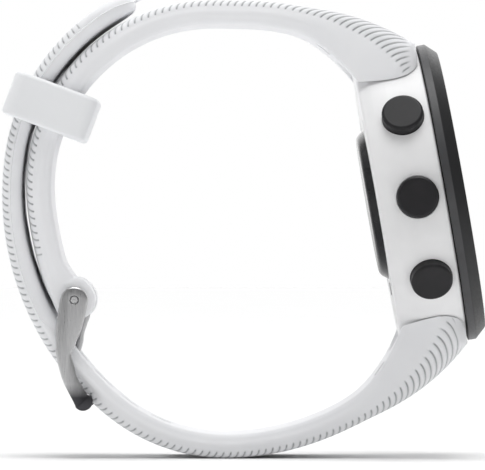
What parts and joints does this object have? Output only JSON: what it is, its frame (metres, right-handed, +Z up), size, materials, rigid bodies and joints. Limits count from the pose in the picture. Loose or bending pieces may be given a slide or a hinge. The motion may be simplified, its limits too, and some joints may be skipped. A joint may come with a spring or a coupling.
{
  "type": "gps running watch",
  "caption": "Round sports watch with radial push buttons, optical heart sensor on its back and a buckled, grooved silicone band with a sliding keeper.",
  "frame": {"origin": "on the ground, under the middle of the standing watch's overall box", "axes": "+Z up, +X the way the dial faces, 10 degrees below the dial's own normal, +Y towards the dial's 3 o'clock, across the band"},
  "size_m": [0.0636, 0.0403, 0.0608],
  "materials": {
    "case_polymer": "smooth satin white polymer",
    "bezel_polymer": "satin charcoal",
    "lens_glass": "polished",
    "display": "reflective liquid crystal, switched off",
    "black_rubber": "matte",
    "dark_polymer": "matte",
    "circuit_board": "solder mask",
    "gold_plate": "plated",
    "battery_foil": "satin foil",
    "steel": "machined",
    "sensor_black": "gloss",
    "sensor_glass": "dark tinted",
    "led_lens": "clear cap over green diode",
    "button_polymer": "fine satin",
    "silicone": "soft matte white silicone",
    "brushed_buckle": "brushed along its length"
  },
  "bodies": {
    "case": {"case_body": "case_polymer", "bezel": "bezel_polymer", "lens": "lens_glass", "display_module": "display", "bezel_gasket": "black_rubber", "chassis": "dark_polymer", "main_board": "circuit_board", "board_chips": "dark_polymer", "gps_antenna": "gold_plate", "battery": "battery_foil", "vibration_motor": "steel", "button_switches": "steel", "button_seals": "black_rubber", "rear_cover": "case_polymer", "rear_seal": "black_rubber", "rear_screws": "steel", "contact_block": "dark_polymer", "charging_contacts": "gold_plate", "sensor_housing": "sensor_black", "sensor_window": "sensor_glass", "sensor_board": "circuit_board", "sensor_leds": "led_lens"},
    "button_light": {"button_light": "button_polymer", "clip_light": "steel"},
    "button_up": {"button_up": "button_polymer", "clip_up": "steel"},
    "button_down": {"button_down": "button_polymer", "clip_down": "steel"},
    "button_start": {"button_start": "button_polymer", "clip_start": "steel"},
    "button_back": {"button_back": "button_polymer", "clip_back": "steel"},
    "upper_strap": {"buckle_strap": "silicone", "buckle_pin": "steel", "upper_bar_barrel": "steel", "upper_bar_spring": "steel"},
    "lower_strap": {"hole_strap": "silicone", "lower_bar_barrel": "steel", "lower_bar_spring": "steel"},
    "keeper": {"keeper": "silicone"},
    "buckle": {"buckle_frame": "brushed_buckle"},
    "tongue": {"buckle_tongue": "brushed_buckle"},
    "upper_latch": {"upper_bar_tip": "steel", "upper_release": "steel"},
    "lower_latch": {"lower_bar_tip": "steel", "lower_release": "steel"}
  },
  "joints": [
    {"name": "light_press", "type": "slide", "parent": "case", "child": "button_light", "axis": [0.0958, 0.8339, -0.5436], "range_m": [0, 0.0005], "stiffness_N_per_m": 2500},
    {"name": "up_press", "type": "slide", "parent": "case", "child": "button_up", "axis": [0, 1, 0], "range_m": [0, 0.0005], "stiffness_N_per_m": 2500},
    {"name": "down_press", "type": "slide", "parent": "case", "child": "button_down", "axis": [-0.0958, 0.8339, 0.5436], "range_m": [0, 0.0005], "stiffness_N_per_m": 2500},
    {"name": "start_press", "type": "slide", "parent": "case", "child": "button_start", "axis": [0.0958, -0.8339, -0.5436], "range_m": [0, 0.0005], "stiffness_N_per_m": 2500},
    {"name": "back_press", "type": "slide", "parent": "case", "child": "button_back", "axis": [-0.0958, -0.8339, 0.5436], "range_m": [0, 0.0005], "stiffness_N_per_m": 2500},
    {"name": "upper_strap_swing", "type": "hinge", "parent": "case", "child": "upper_strap", "pos_m": [0.01639, 0, 0.05477], "axis": [0, 1, 0], "range_deg": [-0.25, 0.25], "stiffness_Nm_per_rad": 0.6},
    {"name": "lower_strap_swing", "type": "hinge", "parent": "case", "child": "lower_strap", "pos_m": [0.02379, 0, 0.01281], "axis": [0, 1, 0], "range_deg": [-0.25, 0.25], "stiffness_Nm_per_rad": 0.6},
    {"name": "keeper_slide", "type": "hinge", "parent": "upper_strap", "child": "keeper", "pos_m": [-0.00426, 0, 0.03564], "axis": [0, 1, 0], "range_deg": [-6, 19]},
    {"name": "buckle_tilt", "type": "hinge", "parent": "upper_strap", "child": "buckle", "pos_m": [-0.0224, 0, 0.02077], "axis": [0, 1, 0], "range_deg": [0, 3]},
    {"name": "tongue_tilt", "type": "hinge", "parent": "buckle", "child": "tongue", "pos_m": [-0.0224, 0, 0.02077], "axis": [0, 1, 0], "range_deg": [0, 2]},
    {"name": "upper_release_slide", "type": "slide", "parent": "upper_strap", "child": "upper_latch", "axis": [0, 1, 0], "range_m": [0, 0.0011], "stiffness_N_per_m": 800, "deforming": ["upper_bar_spring"]},
    {"name": "lower_release_slide", "type": "slide", "parent": "lower_strap", "child": "lower_latch", "axis": [0, 1, 0], "range_m": [0, 0.0011], "stiffness_N_per_m": 800, "deforming": ["lower_bar_spring"]}
  ]
}
